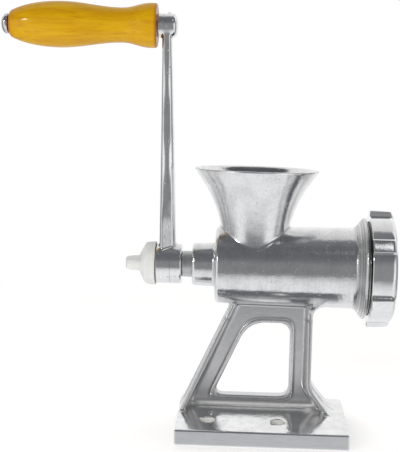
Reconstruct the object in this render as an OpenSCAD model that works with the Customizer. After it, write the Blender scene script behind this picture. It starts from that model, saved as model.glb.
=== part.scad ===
// Table-top hand meat grinder: a one-piece cast stand, barrel and hopper, a worm with
// its knife and hole plate, a lugged ring nut, and a crank with a turned wooden grip.
// Millimetres. X runs along the shaft towards the outlet, Y away from the front of the
// base, Z up. The origin is on the base underside, below the shaft axis.

/* [Base plate] */
// Height of the shaft axis above the base underside
axis_h = 118; // [105:1:150]
// Length of the base plate along the shaft
base_len = 122; // [110:1:160]
// Reach of the base plate in front of the stand's middle plane
base_front = 59; // [50:1:80]
// Reach of the base plate behind the stand's middle plane
base_back = 23; // [22:1:60]
// Thickness of the base plate
base_th = 11; // [8:0.5:16]
// Corner radius of the base plate seen from above
base_corner = 2; // [0.5:0.5:8]
// Diameter of the two fixing holes
fix_hole_d = 10; // [6:0.5:12]
// Distance between the two fixing holes
fix_hole_pitch = 50; // [35:1:60]
// Middle of the hole pair along the base, from the base's own middle
fix_hole_shift = -13.6; // [-20:0.2:5]
// Distance of the hole row in front of the stand's middle plane
fix_hole_reach = 36; // [32:1:42]

/* [Stand] */
// Half depth of the stand's side flanges at the base
flange_foot = 21; // [18:0.5:22]
// Half depth of the stand's side flanges under the barrel
flange_top = 10; // [8:0.5:18]
// Thickness of the side flanges
flange_th = 4; // [3:0.2:8]
// Thickness of the web between the flanges
web_th = 7; // [5:0.5:10]
// Gap from the base's rear end to the foot of the sloping flange
foot_gap_rear = 0.6; // [0.4:0.2:10]
// Gap from the base's front end to the foot of the upright flange
foot_gap_front = 10.7; // [5:0.1:20]
// Height of the kink in the upright flange above the base plate
knee_h = 19.5; // [15:0.5:30]
// Distance of the sloping flange's top from the barrel's rear face
slope_inset = 12; // [6:0.5:14]
// Distance of the upright flange's outer face behind the rim at the barrel's mouth
post_inset = 35.6; // [30:0.2:45]
// Radius of the upright flange's blend into the barrel
post_blend = 5.5; // [2:0.5:8]
// Height of the sill below the window, above the base plate
sill_h = 10.4; // [8:0.2:20]
// Height of the web between the window and the barrel
head_h = 13.7; // [8:0.1:20]
// Width of the sloping side of the window frame
slope_stile = 19.4; // [16:0.2:26]
// Width of the upright side of the window frame
post_stile = 15.6; // [12:0.2:20]
// Radius of the window's corners
window_round = 5; // [2:0.5:6]
// Width of the raised bead round the window
bead_w = 3.2; // [2:0.2:4]
// Height of that bead above the web
bead_h = 1.4; // [0.5:0.1:2.5]

/* [Barrel] */
// Radius of the barrel's bore, in which the worm turns
bore_r = 25.5; // [21:0.5:28]
// Wall of the barrel at its rear end
barrel_wall = 2.5; // [2:0.1:4]
// Growth of the barrel's outer radius towards the outlet
barrel_draft = 1.4; // [0:0.1:2]
// Position of the barrel's rear face from the base's middle
barrel_rear_x = -36; // [-40:0.5:-30]
// Length of the barrel from its rear face to the rim at its mouth
barrel_len = 107; // [100:1:130]
// Length of the flare for each millimetre that it rises to the rim
flare_run = 0.8; // [0.6:0.1:1.6]
// Width of the rim between the flare and the thread
rim_len = 1.2; // [1:0.1:6]
// Length of the thread for the ring nut
thread_len = 13.8; // [10:0.1:18]
// Wall between the plate's pocket and the thread
thread_wall = 2.75; // [2:0.05:4]
// Height of the rim above the thread
rim_step = 3; // [1:0.1:4]
// Thickness of the barrel's rear wall
rear_wall = 5; // [4:0.5:8]
// Length of the rear bearing boss
boss_len = 17; // [12:0.5:22]
// Wall of the rear bearing boss outside its bush
boss_wall = 3.4; // [2.5:0.1:6]
// Growth of the boss's radius towards the barrel
boss_draft = 0.6; // [0:0.1:1.5]
// Rounding of the boss's edges
boss_edge = 2; // [1:0.1:3]
// Rounding of the barrel's rear edge
barrel_edge = 4; // [2:0.5:6]
// Radius of the sweep from the barrel into its flare
flare_sweep = 3; // [1:0.5:8]
// Diameter of the key pin in the barrel's mouth
key_d = 4; // [3:0.5:4]
// Length of the key pin
key_len = 10; // [6:0.5:10]

/* [Hopper] */
// Height of the hopper's rim above the shaft axis
hopper_h = 70; // [60:1:100]
// Outer radius of the hopper's rim
hopper_rim_r = 46; // [38:0.5:60]
// Outer radius of the hopper's neck
hopper_neck_r = 23.5; // [20:0.5:24]
// Height of the narrowest place of the neck above the shaft axis
hopper_neck_h = 12.8; // [8:0.2:18]
// Wall of the hopper
hopper_wall = 3; // [2:0.2:5]
// Position of the hopper's axis in front of the barrel's rear face
hopper_inset = 27.8; // [27:0.2:45]

/* [Ring nut and plate] */
// Diameter of the hole plate
plate_d = 62; // [58:1:75]
// Thickness of the hole plate
plate_th = 8; // [6:0.5:10]
// How far the plate stands out of the barrel's mouth
plate_proud = 1.7; // [1:0.1:3]
// Diameter of the plate's holes
plate_hole_d = 5.6; // [3:0.2:6]
// Number of rings of holes in the plate
plate_rings = 3; // [2:1:3]
// Distance between the rings of holes
plate_ring_step = 7.4; // [7:0.1:8]
// Width of the ring nut along the shaft
nut_w = 17.2; // [15:0.2:19]
// Wall of the ring nut
nut_wall = 4.8; // [2.4:0.1:6]
// Thickness of the ring nut's front lip
nut_lip = 4; // [3:0.5:6]
// How far the lip reaches in over the plate's edge
nut_grip = 3; // [2:0.5:4]
// Number of lugs on the ring nut
lug_n = 6; // [3:1:8]
// Width of a lug
lug_w = 8.5; // [6:0.5:14]
// Height of a lug above the ring
lug_h = 3.6; // [3:0.2:8]
// Rounding of the ring's front edge
nut_edge = 2; // [0.5:0.1:2.5]
// Rounding of the lugs' front edges
lug_edge = 4; // [1:0.5:5]

/* [Worm and knife] */
// Radius of the worm's shank
shank_r = 9.55; // [8:0.05:11.5]
// Height of the worm's core above its shank
core_step = 1.45; // [1:0.05:3]
// Pitch of the worm's flight
flight_pitch = 25; // [20:1:32]
// Thickness of the flight at its edge
flight_tip = 3.6; // [2:0.2:6]
// Thickness of the flight at the core
flight_root = 7; // [5:0.5:10]
// How much smaller the square tang is than the square that the shank would hold
tang_relief = 0.5; // [0.2:0.1:2]
// Wall of the rear bush
bush_wall = 2.4; // [1.5:0.1:4]
// Width of the thrust washer from the shank outwards
washer_w = 7.4; // [4:0.2:10]
// Thickness of the thrust washer
washer_th = 1.5; // [1:0.1:3]
// Side of the square on the front stud, which drives the knife
stud_side = 10; // [8:0.5:11]
// Radius of the pilot pin at the end of the front stud
pilot_r = 4; // [3:0.25:4.5]
// Radius of the stud's root inside the worm
stud_root_r = 6; // [5:0.25:7]
// Length of the stud's root inside the worm
stud_root_len = 14; // [8:1:20]
// Thickness of the knife
knife_th = 8.5; // [6:0.5:10]
// Wall of the knife's hub outside the corners of its square hole
knife_hub_wall = 4; // [2:0.5:6]
// Gap between the knife and what is round it in the barrel's mouth
knife_room = 1; // [0.5:0.1:2]
// Number of knife blades
blade_n = 4; // [2:1:4]
// Width of a blade at its tip
blade_tip_w = 6; // [4:0.5:9]
// Width of a blade at the hub
blade_root_w = 11; // [8:0.5:13]

/* [Crank] */
// Distance from the shaft axis to the grip's axis
crank_r = 172; // [140:1:200]
// Visible length of shank between the bearing boss and the crank's hub
neck_len = 7.5; // [4:0.5:12]
// Length of the crank's hub
hub_len = 19; // [17:0.5:26]
// Radius of the crank's hub
hub_r = 14.5; // [13:0.5:18]
// Distance of the arm's flat side from the hub's outer end
arm_set = 2.1; // [1:0.1:4]
// Thickness of the arm at the hub
arm_root_th = 12.1; // [8:0.1:14]
// Thickness of the arm at the grip
arm_tip_th = 6.8; // [6:0.1:10]
// Width of the arm at the hub
arm_root_w = 21; // [16:0.5:25]
// Width of the arm at the grip
arm_tip_w = 13.5; // [10:0.5:16]
// Radius of the boss that holds the grip's spindle
tip_boss_r = 8.7; // [8:0.1:11]
// Length of that boss
tip_boss_len = 14.8; // [12:0.1:20]
// How far that boss stands out of the arm's flat side
tip_boss_set = 3.2; // [1:0.1:6]
// Rounding of that boss's inner end
tip_boss_dome = 5; // [2:0.5:7]
// Rounding of the hub's edges
hub_edge = 1.5; // [0.5:0.1:3]

/* [Thumb screw] */
// Radius of the thumb screw's flange
thumb_r = 16; // [13:0.5:18]
// Thickness of that flange
thumb_flange_th = 8.5; // [5:0.5:9]
// Length of the cone between the flange and the wing
thumb_cone_len = 4; // [3:0.5:6]
// How much smaller the flange is at its outer face
thumb_taper = 0.8; // [0.2:0.1:1.5]
// Radius of the cone's large end
thumb_cone_r = 13.5; // [10:0.5:15]
// Radius of the cone's small end
thumb_neck_r = 6.2; // [6:0.1:9]
// Length of the wing
wing_len = 9.8; // [9:0.2:16]
// Width of the wing
wing_w = 24; // [18:1:30]
// Thickness of the wing at its outer edge
wing_tip_th = 8; // [5:0.2:9]
// Thickness of the wing at its root
wing_root_th = 9.6; // [9:0.1:12]
// Radius of the wing's outer corners
wing_round = 4; // [1:0.5:5]
// Diameter of the screw's thread
thumb_thread_d = 8; // [6:0.5:9]
// Depth of the screw's thread in the worm's shank
thumb_reach = 14; // [11:0.5:18]

/* [Grip] */
// Length of the wooden grip
grip_len = 106.5; // [90:0.5:130]
// Radius of the grip's belly
belly_r = 16.5; // [14:0.1:20]
// Distance of the belly from the grip's outer end
belly_at = 36.5; // [30:0.5:40]
// Half length of the ellipse that the grip's nose follows
nose_len = 43.5; // [42:0.5:60]
// Radius of the grip's waist
waist_r = 12.4; // [11:0.1:15]
// Distance of the waist from the grip's inner end
waist_back = 25; // [20:0.5:30]
// Radius of the grip's collar
collar_r = 15.9; // [14:0.1:18]
// Distance of the collar from the grip's inner end
collar_back = 5; // [4:0.5:8]
// Radius of the grip's rounded edges
grip_edge = 1.6; // [0.5:0.1:2]
// Radius of the grip's spindle
spindle_r = 4.1; // [3:0.1:4.5]
// Radius of the spindle's domed head
head_r = 7.35; // [6:0.05:9]
// Height of that head
dome_h = 5.3; // [5:0.1:7]
// Rounding of that head's outer edge
dome_round = 4; // [1:0.1:4]
// Gap between the head and the grip
head_gap = 1; // [0.5:0.1:2]

/* [Clearances] */
// Radial running clearance of a shaft in its hole
run_fit = 0.06; // [0.02:0.01:0.1]
// Clearance round a piece that is fixed in its hole
fixed_fit = 0.02; // [0.01:0.01:0.05]
// Clearance on each side of the crank's hub on the square tang
tang_fit = 0.1; // [0.05:0.01:0.2]
// Gap between faces that turn past each other
face_gap = 0.3; // [0.2:0.05:0.5]
// Gap between faces that are clamped together
seat_gap = 0.05; // [0.02:0.01:0.1]
// Radial clearance of the hole plate and of the thread
thread_gap = 0.3; // [0.2:0.05:0.4]
// Gap between the worm's flight and the bore
flight_gap = 0.8; // [0.5:0.1:1.5]

/* [Hidden] */
$fn = 96;
arc_steps = 6;
// Reach of a cut past the faces it goes through
through = 1;
// Rounding of small machined edges
fine_edge = 0.8;

// Barrel, from its rear boss to its mouth
boss_x = barrel_rear_x - boss_len;
inner_rear_x = barrel_rear_x + rear_wall;
rim_x = barrel_rear_x + barrel_len;
thread_x = rim_x + rim_len;
mouth_x = thread_x + thread_len;
barrel_rear_r = bore_r + barrel_wall;
barrel_front_r = barrel_rear_r + barrel_draft;
plate_r = plate_d / 2;
pocket_r = plate_r + thread_gap;
thread_r = pocket_r + thread_wall;
rim_r = thread_r + rim_step;
flare_x = rim_x - flare_run * (rim_r - barrel_front_r);

// Plate, ring nut and knife, which stack against the mouth
plate_front_x = mouth_x + plate_proud;
plate_rear_x = plate_front_x - plate_th;
nut_front_x = plate_front_x + seat_gap + nut_lip;
nut_rear_x = nut_front_x - nut_w;
nut_bore_r = thread_r + thread_gap;
nut_r = nut_bore_r + nut_wall;
lug_r = nut_r + lug_h;
knife_front_x = plate_rear_x - face_gap;
knife_rear_x = knife_front_x - knife_th;
knife_hub_r = stud_side / sqrt(2) + knife_hub_wall;
knife_r = pocket_r - key_d / 2 - knife_room;
pocket_x = knife_rear_x - knife_room;
key_x = mouth_x - key_len;

// Worm and its bearing
core_r = shank_r + core_step;
tang_side = shank_r * sqrt(2) - tang_relief;
bush_r = shank_r + run_fit + bush_wall;
boss_r = bush_r + boss_wall;
washer_r = shank_r + run_fit + washer_w;
washer_x = inner_rear_x + seat_gap;
worm_rear_x = washer_x + washer_th + face_gap;
worm_front_x = knife_rear_x - seat_gap;
worm_r = bore_r - flight_gap;
flight_start = worm_rear_x + flight_root / 2;
flight_end = worm_front_x - flight_root / 2;
flight_bury = 2;
flight_steps = 20;
grip_steps = 48;

// Crank, from its hub to the boss of the grip's spindle
hub_in_x = boss_x - neck_len;
hub_out_x = hub_in_x - hub_len;
tang_short = 1;
tang_x = hub_out_x + tang_short;
arm_x = hub_out_x + arm_set;
grip_z = axis_h + crank_r;
tip_boss_x = arm_x - tip_boss_set;
tip_boss_end = tip_boss_x + tip_boss_len;
spindle_seat = 3;
spindle_end_x = tip_boss_end - spindle_seat;

// Thumb screw
thumb_face_x = hub_out_x - face_gap;
thumb_cone_x = thumb_face_x - thumb_flange_th;
thumb_wing_x = thumb_cone_x - thumb_cone_len;
thumb_end_x = thumb_wing_x - wing_len;
thumb_thread_r = thumb_thread_d / 2;
thumb_tip_x = tang_x + thumb_reach;
thumb_root_x = thumb_wing_x;
thread_run_out = 3;

// Grip
grip_in_x = tip_boss_x - face_gap;
grip_out_x = grip_in_x - grip_len;
head_x = grip_out_x - head_gap;

// Stand outline, in X and Z
shoulder_z = axis_h - barrel_rear_r;
slope_top_x = barrel_rear_x + slope_inset;
slope_foot_x = -base_len / 2 + foot_gap_rear;
post_x = rim_x - post_inset;
post_foot_x = base_len / 2 - foot_gap_front;
knee_z = base_th + knee_h;
window_low = base_th + sill_h;
window_high = shoulder_z - head_h;
window_side = post_x - post_stile;
hopper_x = barrel_rear_x + hopper_inset;

function unit(v) = v / norm(v);

// Points of the arc of radius r that rounds the corner p between a and b
function corner_arc(a, p, b, r) =
    let (
        u = unit(a - p),
        v = unit(b - p),
        half = acos(u * v) / 2,
        c = p + unit(u + v) * r / sin(half),
        t0 = p + u * r / tan(half) - c,
        t1 = p + v * r / tan(half) - c,
        a0 = atan2(t0[1], t0[0]),
        sweep = atan2(t1[1], t1[0]) - a0,
        turn = sweep > 180 ? sweep - 360 : sweep < -180 ? sweep + 360 : sweep
    )
    [for (i = [0:arc_steps]) c + r * [cos(a0 + turn * i / arc_steps), sin(a0 + turn * i / arc_steps)]];

function flat(p) = [p[0], p[1]];

// An outline whose points [x, y, r] have their corners rounded to r, or kept sharp
function rounded(pts) =
    let (n = len(pts))
    [for (i = [0:n - 1])
        let (p = pts[i])
        each p[2] > 0
            ? corner_arc(flat(pts[(i + n - 1) % n]), flat(p), flat(pts[(i + 1) % n]), p[2])
            : [flat(p)]];

// X of the sloping flange's outer edge at a height
function slope_at(z) =
    slope_top_x + (slope_foot_x - slope_top_x) * (shoulder_z - z) / (shoulder_z - base_th);

// Smooth rise from 0 to 1 over half a cosine wave
function ease(t) = (1 - cos(180 * t)) / 2;

// Radius of the grip at a distance from its outer end
waist_at = grip_len - waist_back;
collar_at = grip_len - collar_back;
function grip_radius(s) =
    s < belly_at
        ? belly_r * sqrt(1 - pow((belly_at - s) / nose_len, 2))
        : s < waist_at
            ? belly_r + (waist_r - belly_r) * ease((s - belly_at) / (waist_at - belly_at))
            : s < collar_at
                ? waist_r + (collar_r - waist_r) * ease((s - waist_at) / (collar_at - waist_at))
                : collar_r;

// A solid of revolution about the shaft axis, or one parallel to it, from [x, radius, round]
module revolve_x(pts, z = axis_h) {
    translate([0, 0, z])
        rotate([0, 90, 0])
            rotate_extrude()
                polygon([for (p = rounded(pts)) [p[1], p[0]]]);
}

module cyl_x(r, x0, x1, z = axis_h, y = 0) {
    translate([x0, y, z])
        rotate([0, 90, 0])
            cylinder(r = r, h = x1 - x0);
}

// A square bar along the shaft
module bar_x(side, x0, x1) {
    translate([x0, -side / 2, axis_h - side / 2])
        cube([x1 - x0, side, side]);
}

// An outline in X and Z, carried along Y to both sides of the middle plane
module slab_y(pts, depth) {
    rotate([90, 0, 0])
        linear_extrude(depth, center = true)
            polygon(pts);
}

// An outline in Y and Z, carried along X
module slab_x(pts, x0, x1) {
    translate([x0, 0, 0])
        rotate([90, 0, 90])
            linear_extrude(x1 - x0)
                polygon(pts);
}

module barrel_outside() {
    revolve_x([
        [boss_x, 0, 0],
        [boss_x, boss_r, boss_edge],
        [barrel_rear_x, boss_r + boss_draft, boss_edge],
        [barrel_rear_x, barrel_rear_r, barrel_edge],
        [flare_x, barrel_front_r, flare_sweep],
        [rim_x, rim_r, fine_edge],
        [thread_x, rim_r, fine_edge],
        [thread_x, thread_r, 0],
        [mouth_x, thread_r, fine_edge],
        [mouth_x, 0, 0]
    ]);
}

// Half section of the funnel: a circle that is upright at the neck and meets the rim
module hopper_section(inset) {
    rise = hopper_h - hopper_neck_h;
    spread = hopper_rim_r - hopper_neck_r;
    curve_r = (spread * spread + rise * rise) / (2 * spread);
    curve_x = hopper_neck_r + curve_r;
    top = inset > 0 ? rise + through : rise;
    square([hopper_neck_r - inset, hopper_neck_h]);
    difference() {
        translate([0, hopper_neck_h])
            square([curve_x, top]);
        translate([curve_x, hopper_neck_h])
            circle(curve_r + inset);
    }
}

module hopper_solid(inset) {
    translate([hopper_x, 0, axis_h])
        rotate_extrude()
            hopper_section(inset);
}

function stand_outline(inset) = [
    [slope_top_x + inset, axis_h],
    [slope_top_x + inset, shoulder_z],
    [slope_foot_x + inset, base_th],
    [post_foot_x - inset, base_th],
    [post_x - inset, knee_z],
    [post_x - inset, axis_h]
];

// The window with its frame grown outwards by a distance
function window_outline(grow) = rounded([
    [slope_at(window_high + grow) + slope_stile - grow, window_high + grow, 2 * window_round + grow],
    [slope_at(window_low - grow) + slope_stile - grow, window_low - grow, window_round + grow],
    [window_side + grow, window_low - grow, window_round + grow],
    [window_side + grow, window_high + grow, window_round + grow]
]);

module stand() {
    depth = 2 * flange_foot;
    intersection() {
        difference() {
            slab_y(stand_outline(0), depth);
            slab_y(stand_outline(flange_th), depth + 2 * through);
        }
        slab_x([
            [-flange_foot, base_th],
            [flange_foot, base_th],
            [flange_top, shoulder_z],
            [flange_top, axis_h],
            [-flange_top, axis_h],
            [-flange_top, shoulder_z]
        ], slope_foot_x - through, post_foot_x + through);
    }
    slab_y(stand_outline(0), web_th);
    slab_y(window_outline(bead_w), web_th + 2 * bead_h);
    post_gusset();
}

// The curve that carries the upright flange into the underside of the barrel
module post_gusset() {
    low = shoulder_z - post_blend;
    rotate([90, 0, 0])
        linear_extrude(2 * flange_top, center = true)
            difference() {
                translate([post_x - flange_th / 2, low])
                    square([post_blend + flange_th / 2, post_blend + barrel_rear_r / 2]);
                translate([post_x + post_blend, low])
                    circle(post_blend);
            }
}

module base_plate() {
    half = base_len / 2;
    linear_extrude(base_th + seat_gap)
        polygon(rounded([
            [-half, -base_front, base_corner],
            [half, -base_front, base_corner],
            [half, base_back, base_corner],
            [-half, base_back, base_corner]
        ]));
}

module body_casting() {
    color("lightsteelblue")
        difference() {
            union() {
                barrel_outside();
                hopper_solid(0);
                stand();
                base_plate();
            }
            cyl_x(bore_r, inner_rear_x, mouth_x);
            cyl_x(pocket_r, pocket_x, mouth_x + through);
            cyl_x(bush_r + fixed_fit, boss_x - through, inner_rear_x + through);
            cyl_x(key_d / 2 + fixed_fit, key_x, mouth_x + through, axis_h + pocket_r);
            hopper_solid(hopper_wall);
            slab_y(window_outline(0), 2 * flange_foot);
            for (side = [-1, 1])
                translate([fix_hole_shift + side * fix_hole_pitch / 2, -fix_hole_reach, -through])
                    cylinder(d = fix_hole_d, h = base_th + 2 * through);
        }
}

// Dowel pressed into the mouth of the barrel, half sunk in its wall
module plate_key() {
    color("gray")
        cyl_x(key_d / 2, key_x + seat_gap, mouth_x - seat_gap, axis_h + pocket_r);
}

module rear_bush() {
    color("peru")
        difference() {
            cyl_x(bush_r, boss_x, inner_rear_x);
            cyl_x(shank_r + run_fit, boss_x - through, inner_rear_x + through);
        }
}

module thrust_washer() {
    color("ivory")
        difference() {
            cyl_x(washer_r, washer_x, washer_x + washer_th);
            cyl_x(shank_r + run_fit, washer_x - through, washer_x + washer_th + through);
        }
}

// Point of the flight's section at a turn angle: side -1 is its rear face, 1 its front
function flight_point(a, r, half_th, side) =
    [flight_start + flight_pitch * a / 360 + side * half_th, r * cos(a), -r * sin(a)];

// Helical flight: a four-cornered section carried round the core, left-handed, so that
// cranking clockwise from the grip's end drives the food to the plate
module flight() {
    turns = (flight_end - flight_start) / flight_pitch;
    n = ceil(turns * flight_steps);
    points = [for (i = [0:n])
        let (a = 360 * turns * i / n)
        each [
            flight_point(a, core_r - flight_bury, flight_root / 2, -1),
            flight_point(a, worm_r, flight_tip / 2, -1),
            flight_point(a, worm_r, flight_tip / 2, 1),
            flight_point(a, core_r - flight_bury, flight_root / 2, 1)
        ]];
    sides = [for (i = [0:n - 1], k = [0:3])
        let (p = 4 * i + k, q = 4 * i + (k + 1) % 4)
        each [[p, p + 4, q], [q, p + 4, q + 4]]];
    last = 4 * n;
    ends = [[0, 1, 2], [0, 2, 3], [last, last + 2, last + 1], [last, last + 3, last + 2]];
    translate([0, 0, axis_h])
        polyhedron(points, concat(sides, ends), convexity = 10);
}

module auger() {
    color("silver")
        difference() {
            union() {
                bar_x(tang_side, tang_x, hub_in_x + through);
                cyl_x(shank_r, hub_in_x + seat_gap, worm_rear_x + through);
                cyl_x(core_r, worm_rear_x, worm_front_x);
                flight();
            }
            cyl_x(thumb_thread_r + run_fit, tang_x - through, thumb_tip_x + thread_run_out);
            cyl_x(stud_root_r + fixed_fit, worm_front_x - stud_root_len, worm_front_x + through);
        }
}

// Steel stud in the front of the worm: its root, the knife's square and the pilot pin
module auger_stud() {
    color("dimgray") {
        cyl_x(stud_root_r, worm_front_x - stud_root_len + seat_gap, knife_rear_x);
        bar_x(stud_side, knife_rear_x, knife_front_x - seat_gap);
        cyl_x(pilot_r, knife_front_x - through, plate_front_x);
    }
}

// One blade from the middle outwards: its front edge is straight, its back tapers
module blade() {
    slab_x([
        [0, -blade_root_w / 2],
        [knife_r, blade_root_w / 2 - blade_tip_w],
        [knife_r, blade_root_w / 2],
        [0, blade_root_w / 2]
    ], knife_rear_x, knife_front_x);
}

module knife() {
    color("slategray")
        difference() {
            union() {
                cyl_x(knife_hub_r, knife_rear_x, knife_front_x);
                for (i = [0:blade_n - 1])
                    translate([0, 0, axis_h])
                        rotate([360 * i / blade_n, 0, 0])
                            blade();
            }
            bar_x(stud_side + 2 * fixed_fit, knife_rear_x - through, knife_front_x + through);
        }
}

module hole_plate() {
    notch_z = axis_h + pocket_r;
    color("darkgray")
        difference() {
            cyl_x(plate_r, plate_rear_x, plate_front_x);
            cyl_x(pilot_r + run_fit, plate_rear_x - through, plate_front_x + through);
            cyl_x(key_d / 2 + thread_gap, plate_rear_x - through, plate_front_x + through, notch_z);
            for (ring = [1:plate_rings], i = [0:6 * ring - 1])
                let (a = 360 * (i + 0.5) / (6 * ring), d = (ring + 0.35) * plate_ring_step)
                    cyl_x(plate_hole_d / 2, plate_rear_x - through, plate_front_x + through,
                          axis_h + d * sin(a), d * cos(a));
        }
}

module ring_nut() {
    color("gainsboro")
        difference() {
            union() {
                revolve_x([
                    [nut_rear_x, 0, 0],
                    [nut_rear_x, nut_r, fine_edge],
                    [nut_front_x, nut_r, nut_edge],
                    [nut_front_x, 0, 0]
                ]);
                intersection() {
                    for (i = [0:lug_n - 1])
                        translate([nut_rear_x, 0, axis_h])
                            rotate([360 * i / lug_n, 0, 0])
                                translate([0, -lug_w / 2, nut_bore_r])
                                    cube([nut_w, lug_w, lug_r]);
                    revolve_x([
                        [nut_rear_x, 0, 0],
                        [nut_rear_x, lug_r, fine_edge],
                        [nut_front_x, lug_r, lug_edge],
                        [nut_front_x, 0, 0]
                    ]);
                }
            }
            cyl_x(nut_bore_r, nut_rear_x - through, plate_front_x + seat_gap);
            cyl_x(plate_r - nut_grip, plate_front_x, nut_front_x + through);
        }
}

module crank_arm() {
    color("lightgray")
        difference() {
            union() {
                revolve_x([
                    [hub_out_x, 0, 0],
                    [hub_out_x, hub_r, hub_edge],
                    [hub_in_x, hub_r, hub_edge],
                    [hub_in_x, 0, 0]
                ]);
                intersection() {
                    slab_y([
                        [arm_x, axis_h],
                        [arm_x + arm_root_th, axis_h],
                        [arm_x + arm_root_th, axis_h + hub_r],
                        [arm_x + arm_tip_th, grip_z],
                        [arm_x, grip_z]
                    ], arm_root_w);
                    slab_x([
                        [-arm_root_w / 2, axis_h],
                        [arm_root_w / 2, axis_h],
                        [arm_tip_w / 2, grip_z],
                        [-arm_tip_w / 2, grip_z]
                    ], hub_out_x, hub_in_x);
                }
                revolve_x([
                    [tip_boss_x, 0, 0],
                    [tip_boss_x, tip_boss_r, fine_edge],
                    [tip_boss_end, tip_boss_r, tip_boss_dome],
                    [tip_boss_end, 0, 0]
                ], grip_z);
            }
            bar_x(tang_side + 2 * tang_fit, hub_out_x - through, hub_in_x + through);
            cyl_x(spindle_r + fixed_fit, tip_boss_x - through, spindle_end_x, grip_z);
        }
}

module thumb_head() {
    color("whitesmoke")
        difference() {
            union() {
                revolve_x([
                    [thumb_face_x, 0, 0],
                    [thumb_face_x, thumb_r, fine_edge],
                    [thumb_cone_x, thumb_r - thumb_taper, fine_edge],
                    [thumb_cone_x, thumb_cone_r, 0],
                    [thumb_wing_x, thumb_neck_r, 0],
                    [thumb_wing_x, 0, 0]
                ]);
                intersection() {
                    slab_y([
                        [thumb_end_x, axis_h - wing_tip_th / 2],
                        [thumb_cone_x, axis_h - wing_root_th / 2],
                        [thumb_cone_x, axis_h + wing_root_th / 2],
                        [thumb_end_x, axis_h + wing_tip_th / 2]
                    ], wing_w);
                    translate([0, 0, axis_h - wing_w / 2])
                        linear_extrude(wing_w)
                            polygon(rounded([
                                [thumb_end_x, -wing_w / 2, wing_round],
                                [thumb_cone_x, -thumb_cone_r, 0],
                                [thumb_cone_x, thumb_cone_r, 0],
                                [thumb_end_x, wing_w / 2, wing_round]
                            ]));
                }
            }
            cyl_x(thumb_thread_r + fixed_fit, thumb_root_x, thumb_face_x + through);
        }
}

// Threaded stud moulded into the thumb screw
module thumb_stud() {
    color("gray")
        cyl_x(thumb_thread_r, thumb_root_x + seat_gap, thumb_tip_x);
}

module grip() {
    plain_len = grip_len - 2 * grip_edge;
    profile = [for (i = [0:grip_steps])
        let (s = grip_edge + plain_len * i / grip_steps)
        [grip_out_x + s, grip_radius(s), 0]];
    color("goldenrod")
        difference() {
            revolve_x(concat(
                [[grip_out_x, 0, 0], [grip_out_x, grip_radius(0) - grip_edge, 0]],
                profile,
                [[grip_in_x, collar_r - grip_edge, 0], [grip_in_x, 0, 0]]
            ), grip_z);
            cyl_x(spindle_r + run_fit, grip_out_x - through, grip_in_x + through, grip_z);
        }
}

// Bolt that carries the grip, with a domed head
module grip_spindle() {
    color("silver") {
        cyl_x(spindle_r, head_x - seat_gap, spindle_end_x - seat_gap, grip_z);
        revolve_x([
            [head_x - dome_h, 0, 0],
            [head_x - dome_h, head_r, dome_round],
            [head_x, head_r, fine_edge],
            [head_x, 0, 0]
        ], grip_z);
    }
}

body_casting();
plate_key();
rear_bush();
thrust_washer();
auger();
auger_stud();
knife();
hole_plate();
ring_nut();
crank_arm();
thumb_head();
thumb_stud();
grip();
grip_spindle();
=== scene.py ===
# %% [markdown]
# # A hand meat grinder
#
# The imported CAD model is loaded first, as a fixed frame in metres. Every piece below goes
# where that frame says, so nothing has to be fitted by eye.

# %% Load the frame
import bpy
import numpy as np
from mathutils import Matrix, Vector


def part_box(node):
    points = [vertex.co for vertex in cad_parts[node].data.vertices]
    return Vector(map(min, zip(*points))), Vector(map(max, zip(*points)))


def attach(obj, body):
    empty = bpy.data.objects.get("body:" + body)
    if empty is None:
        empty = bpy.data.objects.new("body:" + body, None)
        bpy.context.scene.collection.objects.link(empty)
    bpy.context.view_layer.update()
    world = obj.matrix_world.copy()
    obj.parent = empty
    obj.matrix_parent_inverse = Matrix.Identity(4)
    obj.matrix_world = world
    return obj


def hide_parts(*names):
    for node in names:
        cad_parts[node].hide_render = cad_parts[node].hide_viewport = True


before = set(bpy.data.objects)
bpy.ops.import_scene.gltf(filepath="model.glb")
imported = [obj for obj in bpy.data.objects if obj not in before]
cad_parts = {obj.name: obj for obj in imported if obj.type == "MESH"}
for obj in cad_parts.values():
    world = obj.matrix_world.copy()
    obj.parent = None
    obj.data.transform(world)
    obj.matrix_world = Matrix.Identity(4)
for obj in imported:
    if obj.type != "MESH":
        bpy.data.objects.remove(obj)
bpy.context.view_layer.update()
MM = 0.001


def span(node):
    """Lowest and highest corner of a CAD node, in millimetres."""
    low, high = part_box(node)
    return np.array(low) / MM, np.array(high) / MM


AXIS = float(np.mean([p[2] for p in span("ring_nut")]))
GRIP_Z = float(np.mean([p[2] for p in span("grip")]))
print("shaft axis at z", round(AXIS, 2), "mm, grip axis at z", round(GRIP_Z, 2), "mm")

# %% [markdown]
# ## From arrays to a mesh
#
# A shape here is a set of numpy arrays: points, four-cornered faces and a normal for each point.
# Blender can work out normals by itself, but on a polished surface the exact ones give much
# cleaner reflections, so they are handed over with the points. Extra values per point, called
# marks, become attributes that a material can read.

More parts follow.
